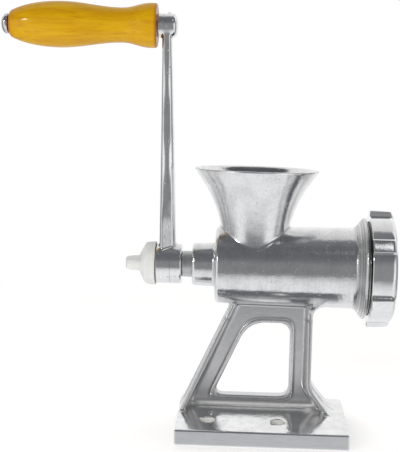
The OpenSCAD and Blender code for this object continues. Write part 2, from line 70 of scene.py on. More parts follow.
# %% The mesh builder
def make_piece(name, points, quads, normals, body, node, finish, caps=(), marks=None):
    """Points in millimetres, rows of four corners, loose cap triangles and a normal per point."""
    mesh = bpy.data.meshes.new(name)
    mesh.from_pydata((points * MM).tolist(), [], quads.tolist() + [list(c) for c in caps])
    mesh.polygons.foreach_set("use_smooth", np.ones(len(mesh.polygons), bool))
    mesh.normals_split_custom_set_from_vertices(normals.tolist())
    for mark, values in (marks or {}).items():
        mesh.attributes.new(mark, "FLOAT", "POINT").data.foreach_set("value", values.astype(np.float32))
    mesh.materials.append(finish)
    piece = bpy.data.objects.new(name, mesh)
    bpy.context.scene.collection.objects.link(piece)
    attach(piece, body)
    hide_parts(node)
    print(name, len(points), "points", 2 * len(quads) + len(caps), "triangles")
    return piece


# %% [markdown]
# ## Surfaces without seams
#
# A casting has no sharp inner corners: barrel, funnel, stand and base run into each other in
# soft curves. Trimming surfaces against each other would leave hard creases there. So such a piece is
# written as a field: a number for every place in space, negative inside the metal and positive
# outside. Two fields are joined with a rounded minimum, which makes the soft curve by itself.
# The skin of the piece is where the field is zero. It is found on a grid of cells: each cell
# that the skin passes through gives one point, and each grid edge that crosses it gives one
# face. The points are then slid along the field's slope until they lie exactly on the skin.

# %% Rounded minimum and maximum
def join(a, b, k):
    """The smaller of two fields, with the corner between them rounded over a width k."""
    h = np.maximum(k - np.abs(a - b), 0) / k
    return np.minimum(a, b) - h * h * k / 4


def both(a, b, k):
    """The larger of two fields, with the edge between them rounded over a width k."""
    return -join(-a, -b, k)


def half_wave(t):
    """A smooth rise from 0 to 1 over half a cosine wave."""
    return (1 - np.cos(np.pi * np.clip(t, 0, 1))) / 2


def rise(value, start, width):
    """A straight rise from 0 to 1 that begins at a start and takes a width; a negative width falls."""
    return np.clip((value - start) / width, 0, 1)


def ladder(*stops):
    """Grid lines from place to place: place, spacing, place, spacing, place."""
    parts = [np.linspace(a, b, int(np.ceil((b - a) / d)) + 1)[:-1]
             for a, d, b in zip(stops[0::2], stops[1::2], stops[2::2])]
    return np.concatenate(parts + [[stops[-1]]])


print("two fields of 1, joined over a width of 2, give", join(1.0, 1.0, 2.0))

# %% The skin of a field
def slope(field, points, h=0.02):
    """Central differences of the field along X, Y and Z."""
    steps = np.eye(3) * h
    return np.stack([field(*(points + s).T) - field(*(points - s).T) for s in steps], 1) / (2 * h)


def skin(field, xs, ys, zs):
    """One point per crossed cell, the mean of its edge crossings; one face per crossed edge."""
    return skin_on(field, *np.meshgrid(xs, ys, zs, indexing="ij"))


def skin_on(field, *place):
    """The same on any bent grid, given as the X, Y and Z of all its nodes."""
    values = field(*place)
    inside = values < 0
    cells = np.array(values.shape) - 1
    corners, crossings = [], []
    for a in range(3):
        b, c = (a + 1) % 3, (a + 2) % 3
        near = [slice(None)] * 3
        far = [slice(None)] * 3
        near[a], far[a] = slice(None, -1), slice(1, None)
        start = np.argwhere(inside[tuple(near)] != inside[tuple(far)])
        end = start.copy()
        end[:, a] += 1
        f0, f1 = values[tuple(start.T)], values[tuple(end.T)]
        p0, p1 = (np.stack([line[tuple(at.T)] for line in place], 1) for at in (start, end))
        cross = p0 + (f0 / (f0 - f1))[:, None] * (p1 - p0)
        ring = []
        for sb, sc in ((0, 0), (-1, 0), (-1, -1), (0, -1)):
            cell = start.copy()
            cell[:, b] += sb
            cell[:, c] += sc
            ring.append(np.ravel_multi_index(tuple(cell.T), tuple(cells)))
        ring = np.stack(ring, 1)
        flip = ~inside[tuple(start.T)]
        ring[flip] = ring[flip][:, ::-1]
        corners.append(ring)
        crossings.append(np.repeat(cross, 4, axis=0))
    corners, crossings = np.concatenate(corners), np.concatenate(crossings)
    used, index = np.unique(corners.ravel(), return_inverse=True)
    count = np.bincount(index)
    points = np.stack([np.bincount(index, crossings[:, d]) / count for d in range(3)], 1)
    for _ in range(5):
        g = slope(field, points)
        away = field(*points.T) / np.maximum((g * g).sum(1), 0.2)
        points = points - np.clip(away, -0.5, 0.5)[:, None] * g
    g = slope(field, points)
    normals = g / np.linalg.norm(g, axis=1)[:, None]
    return points, index.reshape(-1, 4), normals


def bend(field, points, h=0.9):
    """How sharply the skin bends: positive on outer edges, negative in inner corners."""
    steps = np.eye(3) * h
    total = sum(field(*(points + s).T) + field(*(points - s).T) for s in steps)
    return (total - 6 * field(*points.T)) / (h * h)


# %% [markdown]
# ## Turned pieces
#
# The grip and its bolt are turned on a lathe, so a profile carried round an axis is all they
# need. The profile is a list of corners, each with its own rounding, and the roundings are arcs.
# Face sizes weigh into the normals, so the wide plain faces stay plain next to a small rounding.

# %% Profile, lathe and weighted normals
def rounded(corners, steps=8):
    """Corners (x, radius, rounding), each replaced by an arc tangent to both of its sides."""
    corners = np.array(corners, float)
    out = []
    for before, here, after in zip(np.roll(corners, 1, 0), corners, np.roll(corners, -1, 0)):
        p, r = here[:2], here[2]
        if r <= 0:
            out.append(p[None])
            continue
        u, v = before[:2] - p, after[:2] - p
        u, v = u / np.linalg.norm(u), v / np.linalg.norm(v)
        half = np.arccos(np.clip(u @ v, -1, 1)) / 2
        centre = p + (u + v) / np.linalg.norm(u + v) * r / np.sin(half)
        a = p + u * r / np.tan(half) - centre
        b = p + v * r / np.tan(half) - centre
        a0 = np.arctan2(a[1], a[0])
        turn = (np.arctan2(b[1], b[0]) - a0 + np.pi) % (2 * np.pi) - np.pi
        t = a0 + turn * np.linspace(0, 1, steps + 1)
        out.append(centre + r * np.stack([np.cos(t), np.sin(t)], 1))
    return np.concatenate(out)


def weighted_normals(points, quads, caps=()):
    """Face normals summed at each point, each counted by the size of its face."""
    p = points[quads]
    face = np.cross(p[:, 2] - p[:, 0], p[:, 3] - p[:, 1])
    total = np.zeros_like(points)
    for k in range(4):
        np.add.at(total, quads[:, k], face)
    if len(caps):
        q = points[np.array(caps)]
        tri = np.cross(q[:, 1] - q[:, 0], q[:, 2] - q[:, 0])
        for k in range(3):
            np.add.at(total, np.array(caps)[:, k], tri)
    return total / np.maximum(np.linalg.norm(total, axis=1), 1e-12)[:, None]


def wrap(rows, columns, closed=False):
    """Faces of a grid that closes on itself in its second direction, or in both."""
    i, j = np.meshgrid(np.arange(rows if closed else rows - 1), np.arange(columns), indexing="ij")
    k = (j + 1) % columns
    here, there = i * columns, (i + 1) % rows * columns
    return np.stack([here + j, here + k, there + k, there + j], -1).reshape(-1, 4)


def lathe(profile, z, sides=128):
    """The profile (x, radius), from one end to the other, turned about a line along X at height z."""
    t = np.linspace(0, 2 * np.pi, sides, endpoint=False)
    x, r = profile[:, :1], profile[:, 1:]
    ring = np.stack(np.broadcast_arrays(x, r * np.sin(t), z + r * np.cos(t)), -1)
    points = ring.reshape(-1, 3)
    quads = wrap(len(profile), sides)
    poles = np.array([[profile[0, 0], 0, z], [profile[-1, 0], 0, z]])
    j = np.arange(sides)
    k = (j + 1) % sides
    last = (len(profile) - 1) * sides
    n = len(points)
    caps = np.concatenate([np.stack([np.full(sides, n), k, j], 1),
                           np.stack([np.full(sides, n + 1), last + j, last + k], 1)])
    points = np.concatenate([points, poles])
    return points, quads, weighted_normals(points, quads, caps), caps


# %% [markdown]
# ## Shared wear
#
# The metals share the same marks of use: fine polishing lines, cloudy dull patches, small dents.
# Each effect is a node group that is built once and gets its own values in each material. The
# groups only give masks and heights, and the shader stays in the material.

# %% Node helpers
def new_group(name, inputs, outputs):
    """An empty shader node group with named value, vector or colour sockets."""
    tree = bpy.data.node_groups.new(name, "ShaderNodeTree")
    for direction, sockets in (("INPUT", inputs), ("OUTPUT", outputs)):
        for label, kind, value in sockets:
            socket = tree.interface.new_socket(label, in_out=direction, socket_type="NodeSocket" + kind)
            if value is not None:
                socket.default_value = value
    return tree, tree.nodes.new("NodeGroupInput"), tree.nodes.new("NodeGroupOutput")


def node(tree, kind, inputs=None, **settings):
    """A node with its settings, and its inputs given as numbers, colours or other sockets."""
    made = tree.nodes.new("ShaderNode" + kind)
    for key, value in settings.items():
        setattr(made, key, value)
    for key, value in (inputs or {}).items():
        if isinstance(value, bpy.types.NodeSocket):
            tree.links.new(value, made.inputs[key])
        else:
            made.inputs[key].default_value = value
    return made


def sums(tree, operation, a, b):
    """One arithmetic node on two values or sockets."""
    return node(tree, "Math", {0: a, 1: b}, operation=operation).outputs[0]


def scaled(tree, value, factor):
    """A value times a factor."""
    return sums(tree, "MULTIPLY", value, factor)


def from_level(tree, start, value, factor):
    """A start level plus a value times a factor."""
    return node(tree, "Math", {0: value, 1: factor, 2: start}, operation="MULTIPLY_ADD").outputs[0]


def ramp(tree, value, low, high, to_low=0.0, to_high=1.0):
    """A smooth rise of a value from one level to another."""
    return node(tree, "MapRange", {"Value": value, "From Min": low, "From Max": high, "To Min": to_low,
                                   "To Max": to_high}, interpolation_type="SMOOTHSTEP").outputs["Result"]


def tint(tree, factor, a, b):
    """A mix of two colours."""
    made = tree.nodes.new("ShaderNodeMix")
    made.data_type = "RGBA"
    for socket, value in ((made.inputs[0], factor), (made.inputs[6], a), (made.inputs[7], b)):
        if isinstance(value, bpy.types.NodeSocket):
            tree.links.new(value, socket)
        else:
            socket.default_value = value
    return made.outputs[2]


def paint(tree, shade, mask, amount, colour):
    """A colour laid over a shade where a mask says, by an amount."""
    return tint(tree, scaled(tree, mask, amount), shade, (*colour, 1))


# %% Polishing lines, dull clouds and dents
lines_group, g_in, g_out = new_group(
    "polishing_lines", [("Place", "Vector", None), ("Stretch", "Vector", (60.0, 900.0, 900.0))],
    [("Mask", "Float", None)])
stretched = node(lines_group, "VectorMath", {0: g_in.outputs["Place"], 1: g_in.outputs["Stretch"]},
                 operation="MULTIPLY").outputs[0]
fine = node(lines_group, "TexNoise", {"Vector": stretched, "Scale": 1.0, "Detail": 4.0, "Roughness": 0.65})
lines_group.links.new(ramp(lines_group, fine.outputs["Fac"], 0.3, 0.7), g_out.inputs["Mask"])

clouds_group, g_in, g_out = new_group(
    "dull_clouds", [("Place", "Vector", None), ("Scale", "Float", 40.0)], [("Mask", "Float", None)])
cloud = node(clouds_group, "TexNoise", {"Vector": g_in.outputs["Place"], "Scale": g_in.outputs["Scale"],
                                        "Detail": 5.0, "Roughness": 0.6})
clouds_group.links.new(ramp(clouds_group, cloud.outputs["Fac"], 0.35, 0.68), g_out.inputs["Mask"])

dents_group, g_in, g_out = new_group(
    "small_dents", [("Place", "Vector", None), ("Scale", "Float", 160.0), ("Size", "Float", 0.12)],
    [("Mask", "Float", None)])
warp = node(dents_group, "TexNoise", {"Vector": g_in.outputs["Place"], "Scale": 90.0, "Detail": 2.0})
dots = node(dents_group, "TexVoronoi", {"Vector": g_in.outputs["Place"], "Scale": g_in.outputs["Scale"],
                                        "Randomness": 1.0})
spot = ramp(dents_group, dots.outputs["Distance"], 0.0, g_in.outputs["Size"], 1.0, 0.0)
some = ramp(dents_group, warp.outputs["Fac"], 0.4, 0.54)
dents_group.links.new(scaled(dents_group, spot, some), g_out.inputs["Mask"])
print("wear groups:", [g.name for g in bpy.data.node_groups])

# %% Material helpers
def new_material(name):
    """A new material: itself, its tree, its shader and the place that its patterns read."""
    made = bpy.data.materials.new(name)
    made.use_nodes = True
    tree = made.node_tree
    return made, tree, tree.nodes["Principled BSDF"], node(tree, "TexCoord").outputs["Object"]


def wear(tree, group, place, **values):
    """A wear group placed in a material, with its own values."""
    made = tree.nodes.new("ShaderNodeGroup")
    made.node_tree = group
    tree.links.new(place, made.inputs["Place"])
    for key, value in values.items():
        made.inputs[key].default_value = value
    return made.outputs["Mask"]


def mark(tree, name):
    """A mark of the mesh, as a value for the material."""
    return node(tree, "Attribute", attribute_name=name).outputs["Fac"]


def emboss(tree, shader, height, strength, distance):
    """A height that the shader shows as relief."""
    bump = node(tree, "Bump", {"Height": height, "Strength": strength, "Distance": distance})
    tree.links.new(bump.outputs["Normal"], shader.inputs["Normal"])


# %% [markdown]
# ## Metals
#
# All the bright metal is aluminium or steel, and differs in how it was finished: tumbled and
# polished on the casting, mirror bright on the ring nut and the crank, as cast on the
# web of the stand, ground on the cutting tools. Each could be a material of its own, but they wear in
# the same way, so one function builds them all from a colour, a roughness and the amounts of wear.
# Where a piece carries marks, edges are painted brighter, partly as rubbed wear and partly as a
# painted highlight, and inner corners are painted darker as shade.

# %% Marks in the metal
# The edge colour is rubbed wear and a painted highlight, and the corner colour is painted shade. In the
# second row, the pale colour is painted light and the darkest one is painted shade.
RUBBED_HIGHLIGHT, CORNER_SHADE, PIT, SEAM = (0.93, 0.93, 0.93), (0.45, 0.43, 0.4), (0.3, 0.29, 0.28), (0.25, 0.24, 0.23)
SAWN, PAINTED_LIGHT, GROOVE, PAINTED_SHADE = (0.56, 0.57, 0.58), (0.9, 0.89, 0.86), (0.3, 0.29, 0.275), (0.2, 0.19, 0.18)


def cast_marks(tree, shader, place, shade, rough, streaks, matt_shade, matt_roughness):
    """What the marks of the casting say: matt skin, sawn sides, painted light, turning grooves and painted
    shade.
    """
    matt, painted_light = mark(tree, "matt"), mark(tree, "painted_light")
    shade = tint(tree, matt, shade, matt_shade)
    rough = sums(tree, "ADD", rough, scaled(tree, matt, matt_roughness))
    shade = paint(tree, shade, mark(tree, "sawn"), ramp(tree, streaks, 0.0, 1.0, 0.7, 1.0), SAWN)
    # painted light: a pale, less metallic colour stands in for light along the web's foot and in the holes
    shade = paint(tree, shade, painted_light, 1.0, PAINTED_LIGHT)
    tree.links.new(sums(tree, "SUBTRACT", 1.0, scaled(tree, painted_light, 0.8)), shader.inputs["Metallic"])
    at_x = node(tree, "SeparateXYZ", {0: place}).outputs["X"]
    ring = node(tree, "TexNoise", {"W": at_x, "Scale": 900.0, "Detail": 1.0}, noise_dimensions="1D")
    shade = paint(tree, shade, mark(tree, "turned"), ramp(tree, ring.outputs["Fac"], 0.38, 0.62), GROOVE)
    # painted shade: a dark colour in the thread gap and inside the funnel
    return paint(tree, shade, mark(tree, "painted_shade"), 1.0, PAINTED_SHADE), rough


def edge_highlight_and_corner_shade(tree, shade, rough):
    """Outer edges brighter, as rubbed wear and as a painted highlight; inner corners painted darker as
    shade, and duller.
    """
    bent = mark(tree, "bend")
    corner = ramp(tree, bent, -0.12, -0.6)
    # painted highlight, with rubbed wear: convex edges lightened towards a pale grey
    shade = paint(tree, shade, ramp(tree, bent, 0.15, 0.9), 0.4, RUBBED_HIGHLIGHT)
    # painted shade: inner corners darkened
    shade = paint(tree, shade, corner, 0.35, CORNER_SHADE)
    return shade, sums(tree, "ADD", rough, scaled(tree, corner, 0.12))


def parting_seam(tree, place, shade, axis, at, half, top):
    """A dark line where the mould's halves met: near a plane across an axis, below a height."""
    part = node(tree, "SeparateXYZ", {0: place})
    off = sums(tree, "ABSOLUTE", sums(tree, "SUBTRACT", part.outputs[axis], at), 0.0)
    below = ramp(tree, part.outputs["Z"], top, top - 0.001)
    return paint(tree, shade, scaled(tree, ramp(tree, off, half, 0.4 * half), below), 0.5, SEAM)


# %% The metal builder
def metal(name, colour, stain, roughness, lines=0.08, clouds=0.1, dents=0.3, stretch=(60.0, 900.0, 900.0),
          cloud_scale=40.0, dent_scale=170.0, dent_size=0.12, depth=0.2, scratch=0.03, grain=0.05, waves=0.0,
          marked=False, matt_roughness=0.0, matt_colour=None, parting=None):
    """Aluminium or steel: colour and roughness, varied by lines, clouds, dents, edges and corners."""
    made, tree, shader, place = new_material(name)
    shader.inputs["Metallic"].default_value = 1.0
    streaks = wear(tree, lines_group, place, Stretch=stretch)
    dull = wear(tree, clouds_group, place, Scale=cloud_scale)
    speckle = wear(tree, clouds_group, place, Scale=7 * cloud_scale)
    pits = wear(tree, dents_group, place, Scale=dent_scale, Size=dent_size)
    shade = tint(tree, scaled(tree, dull, 0.55), (*colour, 1), (*stain, 1))
    shade = paint(tree, shade, streaks, 2 * lines, stain)
    rough = from_level(tree, roughness, dull, clouds)
    rough = sums(tree, "ADD", rough, scaled(tree, streaks, lines))
    if matt_colour:
        matt_shade = tint(tree, dull, (*matt_colour, 1), (*stain, 1))
        shade, rough = cast_marks(tree, shader, place, shade, rough, streaks, matt_shade, matt_roughness)
    if marked:
        shade, rough = edge_highlight_and_corner_shade(tree, shade, rough)
    shade = paint(tree, shade, speckle, grain, 0.7 * np.array(stain))
    shade = paint(tree, shade, pits, 0.6 * dents, PIT)
    if parting:
        shade = parting_seam(tree, place, shade, *parting)
    relief = sums(tree, "SUBTRACT", scaled(tree, streaks, scratch), scaled(tree, pits, dents))
    emboss(tree, shader, sums(tree, "ADD", relief, scaled(tree, dull, waves)), depth, 0.0006)
    tree.links.new(shade, shader.inputs["Base Color"])
    tree.links.new(sums(tree, "MAXIMUM", rough, 0.03), shader.inputs["Roughness"])
    return made


# %% The metals
polished_casting = metal(
    "polished_casting", (0.92, 0.92, 0.92), (0.68, 0.682, 0.695), 0.07, lines=0.06, clouds=0.045,
    cloud_scale=75.0, dents=0.22, dent_scale=300.0, dent_size=0.2, depth=1.0, scratch=0.015, grain=0.15,
    waves=0.12, marked=True, matt_roughness=0.3, matt_colour=(0.67, 0.667, 0.66),
    parting=("Y", 0.0, 0.0016, 0.0125))
mirror_aluminium = metal(
    "mirror_aluminium", (0.93, 0.93, 0.93), (0.78, 0.782, 0.795), 0.05, lines=0.05, clouds=0.04,
    cloud_scale=70.0, dents=0.15, dent_scale=300.0, dent_size=0.18, depth=0.5, grain=0.1, waves=0.16)
crank_aluminium = metal(
    "crank_aluminium", (0.93, 0.93, 0.93), (0.74, 0.74, 0.745), 0.05, lines=0.05, clouds=0.04,
    stretch=(700.0, 700.0, 50.0), cloud_scale=90.0, dents=0.4, dent_scale=330.0, dent_size=0.25, depth=1.0,
    scratch=0.02, grain=0.16, marked=True, parting=("X", -0.069, 0.0003, 0.122))
worm_casting = metal("worm_casting", (0.72, 0.725, 0.73), (0.56, 0.56, 0.57), 0.34, marked=True)
ground_steel = metal("ground_steel", (0.66, 0.665, 0.67), (0.52, 0.52, 0.52), 0.24, lines=0.16,
                     stretch=(900.0, 60.0, 900.0))
bright_plate = metal("bright_plate", (0.82, 0.825, 0.835), (0.7, 0.7, 0.71), 0.07, lines=0.04, clouds=0.05)
bearing_bronze = metal("bearing_bronze", (0.62, 0.44, 0.22), (0.42, 0.29, 0.15), 0.28, lines=0.14)
print("metals:", [m.name for m in bpy.data.materials if m.node_tree and "Bump" in m.node_tree.nodes])

# %% [markdown]
# ## The casting
#
# One piece of cast aluminium is base plate, stand, barrel, bearing boss and funnel. It could be
# modelled as separate parts that poke into each other, but then every joint would show a crease. Its
# field is built up as the pattern maker would glue up the pattern: turned barrel and funnel first. The
# funnel leans a little, by 0.7 degrees to the side and 1.4 to the back, as on the real one.

# %% Barrel, boss and funnel
BOSS_REAR, BARREL_REAR, FLARE, RIM, SHOULDER, MOUTH = -53.0, -36.0, 64.9, 71.0, 72.2, 86.0
BARREL_R, BARREL_GAIN, FLARE_R, FLARE_RUN = 28.0, 1.4, 37.05, 0.8
BOSS_R, BOSS_GAIN, THREAD_R, THREAD_PITCH = 15.4, 0.6, 33.7, 3.0
FUNNEL_X, NECK_R, NECK_Z, SWEEP, WALL = -8.2, 23.5, AXIS + 12.8, 83.5, 3.0
RIM_R, RIM_Z = 45.0, span("body_casting")[1][2] + 0.9
TILT, LEAN, TIP = np.radians([34.5, 0.7, 1.4])


def barrel(x, y, z):
    """A drafted tube, a flaring cone, a threaded mouth and a rear boss, all about the shaft."""
    rho = np.hypot(y, z - AXIS)
    tube_r = BARREL_R + BARREL_GAIN * (x - BARREL_REAR) / (FLARE - BARREL_REAR)
    boss_r = BOSS_R + BOSS_GAIN * (x - BOSS_REAR) / (BARREL_REAR - BOSS_REAR)
    tube = np.maximum(both(rho - tube_r, BARREL_REAR - x, 3.5), x - SHOULDER)
    cone = (rho - (BARREL_R + BARREL_GAIN + (x - FLARE) / FLARE_RUN)) * 0.625
    flare = both(both(cone, rho - FLARE_R, 1.2), x - SHOULDER, 0.8)
    thread = 0.3 * np.cos(2 * np.pi * x / THREAD_PITCH - np.arctan2(z - AXIS, y))
    mouth = np.maximum(both(rho - THREAD_R - thread, x - MOUTH, 1.0), RIM - x)
    boss = np.maximum(both(rho - boss_r, BOSS_REAR - x, 2.4), x - BARREL_REAR - 4)
    return join(np.minimum(join(tube, flare, 1.6), mouth), boss, 2.6)


def leaning(x, y, z):
    """Distance from the funnel's axis and height along it; the axis leans a little to the side and back."""
    h = np.hypot(x - FUNNEL_X - LEAN * (z - AXIS), y - TIP * (z - AXIS))
    return h, z + LEAN * (x - FUNNEL_X) + TIP * y


def funnel(h, z, inset):
    """A turned profile: upright at the neck, then an arc, then a straight cone."""
    out, up = NECK_R + SWEEP - h, z - NECK_Z
    curve = SWEEP + inset - np.hypot(out, up)
    cone = SWEEP + inset - out * np.cos(TILT) - up * np.sin(TILT)
    cone = np.where(up * np.cos(TILT) > out * np.sin(TILT), cone, curve)
    return np.where(up > 0, cone, h - NECK_R + inset)


print("funnel rim", 2 * RIM_R, "mm across at z", round(RIM_Z, 2), "mm")

# %% [markdown]
# The stand is a thin web between two flanges that widen towards the foot, with a raised bead round
# its window. Each is an outline seen from the front, cut to a depth in Y. The top of the base falls
# a little from the web to its edges, as a pattern must to come out of the sand.

# %% Stand and base
BASE_TOP, FOOT, HEAD, STAND_TOP = 11.0, 21.0, 10.0, 90.0
LEG_TOP, LEG_SLOPE, LEG_COS = -24.0, 0.4608, 0.908
POST_X, KNEE_Z, KNEE_SLOPE, KNEE_COS = 35.4, 30.5, 0.764, 0.795
WINDOW_REAR, WINDOW_FRONT, HEAD_Z, SILL_Z = -10.9, 19.8, 76.3, 21.4
BASE_HALF, BASE_MID, BASE_EDGE = (61.0, 41.0, 5.5), (0.0, -18.0, 5.5), 1.3
BASE_FRONT, BASE_RISE = BASE_HALF[1] - BASE_MID[1], 0.04
HOLES_X, HOLE_Y, HOLE_R = (-38.6, 11.4), -36.0, 5.0


def window(x, z):
    """A four-sided opening: sloping rear side, upright front, level sill and head, round corners."""
    rear = (WINDOW_REAR + (z - HEAD_Z) * LEG_SLOPE - x) * LEG_COS
    return both(both(both(rear, z - HEAD_Z, 12.0), x - WINDOW_FRONT, 9.0), SILL_Z - z, 8.0)


def outline(x, z):
    """Distance outside the stand's outline: a sloping rear edge, an upright front with a knee."""
    rear = (LEG_TOP - (STAND_TOP - z) * LEG_SLOPE - x) * LEG_COS
    knee = (x - POST_X - (KNEE_Z - z) * KNEE_SLOPE) * KNEE_COS
    return both(rear, join(x - POST_X, knee, 2.5), 2.0)


def stand(x, y, z):
    """Side flanges that narrow upwards, a thin web between them, and a raised bead round the window."""
    out, hole = outline(x, z), window(x, z)
    depth = FOOT + (z - BASE_TOP) * (HEAD - FOOT) / (STAND_TOP - BASE_TOP)
    flange = both(both(out, -out - 5.0 + 1.8 * np.abs(y) / depth, 1.2), np.abs(y) - depth, 1.4)
    web = both(out, np.abs(y) - 3.5, 1.0)
    bead = both(hole - 3.2, np.abs(y) - 4.9, 1.3)
    whole = both(join(join(flange, web, 3.0), bead, 1.2), -hole, 1.3)
    return np.maximum(whole, np.maximum(z - AXIS, BASE_TOP - 1 - z))


def draft(y):
    """How far the top of the base rises from its front edge towards the web."""
    return BASE_RISE * (BASE_FRONT - np.abs(y))


def base(x, y, z):
    """A block with rounded edges, stretched upwards by the draft, and two holes through it."""
    even = z * BASE_TOP / (BASE_TOP + draft(y))
    q = [np.abs(p - c) - h + BASE_EDGE for p, c, h in zip((x, y, even), BASE_MID, BASE_HALF)]
    plate = np.sqrt(sum(np.maximum(p, 0) ** 2 for p in q)) + np.minimum(np.maximum.reduce(q), 0) - BASE_EDGE
    for hole_x in HOLES_X:
        plate = both(plate, HOLE_R - np.hypot(x - hole_x, y - HOLE_Y), 1.2)
    return plate


print("base rises by", round(draft(0), 2), "mm to the web")

# %% [markdown]
# The widths of the soft curves differ from place to place: wide where web and base meet, narrow at
# the flanges. What is bored or cut out is taken away last, so its edges stay crisp.

# %% The whole casting
BORE_R, POCKET_R, POCKET_X, BUSH_R = 25.5, 31.3, 69.35, 12.03
KEY_UP, KEY_R, KEY_X = 31.3, 2.02, 75.9


def casting(x, y, z):
    """Everything joined in soft curves, less bore, plate pocket, bush seat, funnel and key hole."""
    h, level = leaning(x, y, z)
    cup = both(both(funnel(h, level, 0.0), h - RIM_R, 0.6), level - RIM_Z, 0.9)
    top = join(barrel(x, y, z), np.maximum(cup, AXIS - z), 2.2)
    fillet = 2.2 + 3.8 * rise(np.abs(y), 11, -5)
    foot = both(join(stand(x, y, z), base(x, y, z), fillet), np.abs(x) - BASE_HALF[0], 1.4)
    solid = join(top, foot, 1.6 + 8.0 * rise(x, 31, 4))
    rho = np.hypot(y, z - AXIS)
    hollow = np.maximum(rho - BORE_R, BARREL_REAR + 5 - x)
    hollow = np.minimum(hollow, np.maximum(rho - POCKET_R, POCKET_X - x))
    hollow = np.minimum(hollow, np.maximum(rho - BUSH_R, x + 20))
    hollow = np.minimum(hollow, np.maximum(funnel(h, level, WALL), AXIS - z))
    hollow = np.minimum(hollow, np.maximum(np.hypot(y, z - AXIS - KEY_UP) - KEY_R, KEY_X - x))
    return both(solid, -hollow, 1.4)


# %% [markdown]
# The grid decides how well edges come out. Under the barrel its X lines lean with the legs of the
# stand and lie close together at flanges and window, and above they belong to barrel and mouth. In
# between they change over in a short height where nothing but the web has to be followed.

# %% The grid of the casting
def runs(places, steps):
    """Grid lines from place to place with so many steps in each gap; places may differ with height."""
    parts = [a + (b - a) * np.arange(n)[:, None] / n for a, b, n in zip(places[:-1], places[1:], steps)]
    return np.concatenate(parts + [np.zeros((1, 1)) + places[-1] + 0 * parts[0][:1]])


zs = ladder(-2, 0.6, 1.6, 2.0, 9.4, 0.5, 13.4, 0.75, 18, 0.62, 26, 1.2, 70, 0.67, 82, 0.9, 92,
            1.35, 150, 1.75, 185, 0.6, 194)
low = np.clip(zs, BASE_TOP, STAND_TOP)
upright = np.zeros_like(zs)
leg = LEG_TOP - (STAND_TOP - low) * LEG_SLOPE
pane = WINDOW_REAR + (low - HEAD_Z) * LEG_SLOPE
post = POST_X + np.maximum(KNEE_Z - low, 0) * KNEE_SLOPE
x_low = runs([upright - 63, leg - 2, leg + 8, pane - 6, pane + 3, upright + 16, upright + 26, post - 7,
              post + 2, upright + 63], [4, 20, 7, 18, 14, 18, 7, 18, 18])
x_high = runs([-56.0, -51.5, -39.5, -33.0, -20.0, 28.0, 38.0, 60.0, 74.0, 88.0],
              [8, 5, 12, 12, 30, 10, 9, 24, 14])
y_low = runs([-62.0, -56.0, -26.0, -13.0, 13.0, 21.5, 26.0], [8, 6, 10, 26, 8, 6])
y_high = np.linspace(-48, 48, len(y_low))[:, None]
over = rise(zs, 79, 1.4)
x_lines, y_lines = x_low * (1 - over) + x_high * over, y_low * (1 - over) + y_high * over
grid_x, grid_y, grid_z = np.broadcast_arrays(x_lines[:, None, :], y_lines[None], zs)
points, quads, normals = skin_on(casting, grid_x, grid_y, grid_z)
print("casting grid", grid_x.shape)

# %% [markdown]
# The finish differs over one and the same casting. It could be painted by hand, but the shape says
# where: the stand is nearly as cast, the sides of the base are sawn, a pale band of painted light lies
# at the foot of the web and in the holes, the mouth shows turning grooves, and painted shade darkens
# the thread gap and the inside of the funnel. So each mark is worked out from the points.

# %% Marks of the casting
x, y, z = points.T
above = z - draft(y)
bent = bend(casting, points)
of_stand = rise(above, 11.6, 2) * rise(z, 91, -4)
outer_face = rise(outline(x, z), -1.0, 0.8) * np.clip(np.abs(normals[:, 0]) * 3 - 1, 0, 1)
of_side = rise(above, 10.6, -1.0) * np.clip(2 - 3 * np.abs(normals[:, 2]), 0, 1)
of_barrel = rise(z, 88, 5) * (0.1 + 0.5 * rise(x, 62, 4))
matt = np.maximum.reduce([of_stand * (0.75 - 0.5 * outer_face), 0.9 * of_side, of_barrel])
matt = matt * (1 - 0.6 * rise(bent, 0.2, 0.5) * rise(window(x, z), 7, -2))
# painted light: a pale band at the foot of the web and the walls of both holes, standing in for light there
painted_light = np.exp(-((above - 12.8) / 0.9) ** 2) * rise(np.abs(y), 12, -3) * rise(np.abs(x + 5), 45, -5)
for hole_x in HOLES_X:
    in_hole = np.hypot(x - hole_x, y - HOLE_Y) < HOLE_R + 0.4
    painted_light = np.maximum(painted_light, in_hole & (z > 1) & (above < 10.5))
h, level = leaning(x, y, z)
turned = 0.65 * rise(x, 63.5, 1.5) * rise(x, SHOULDER, -0.4) * (z > 80)
turned = np.maximum(turned, 0.05 * rise(x, -33, 3) * (z > 89) * (funnel(h, level, 0.0) > 0.5))
in_funnel = (np.abs(funnel(h, level, WALL)) < 0.7) * (z > 140) * (level < RIM_Z - 1.5)
in_funnel = in_funnel * rise(np.abs(x - FUNNEL_X), 26, -4)
# painted shade: the thread gap past the shoulder and the funnel's inner wall are darkened
painted_shade = np.maximum(rise(x, SHOULDER, 0.5), 0.45 * in_funnel)
make_piece("casting", points, quads, normals, "housing", "body_casting", polished_casting,
           marks={"bend": bent, "matt": matt, "sawn": of_side, "painted_light": painted_light, "turned": turned,
                  "painted_shade": painted_shade})

# %% [markdown]
# ## The ring nut
#
# A ring with six lugs for the hand, each with one steep and one hollow side. Lugs could be separate
# blocks joined to a turned ring, but here one closed section is carried round the shaft, and the outer
# side of that section swells where a lug is. That makes it a function of two parameters, the angle and
# the place along the section, so it needs no cutting. The angles lie closer together at the lugs' sides.

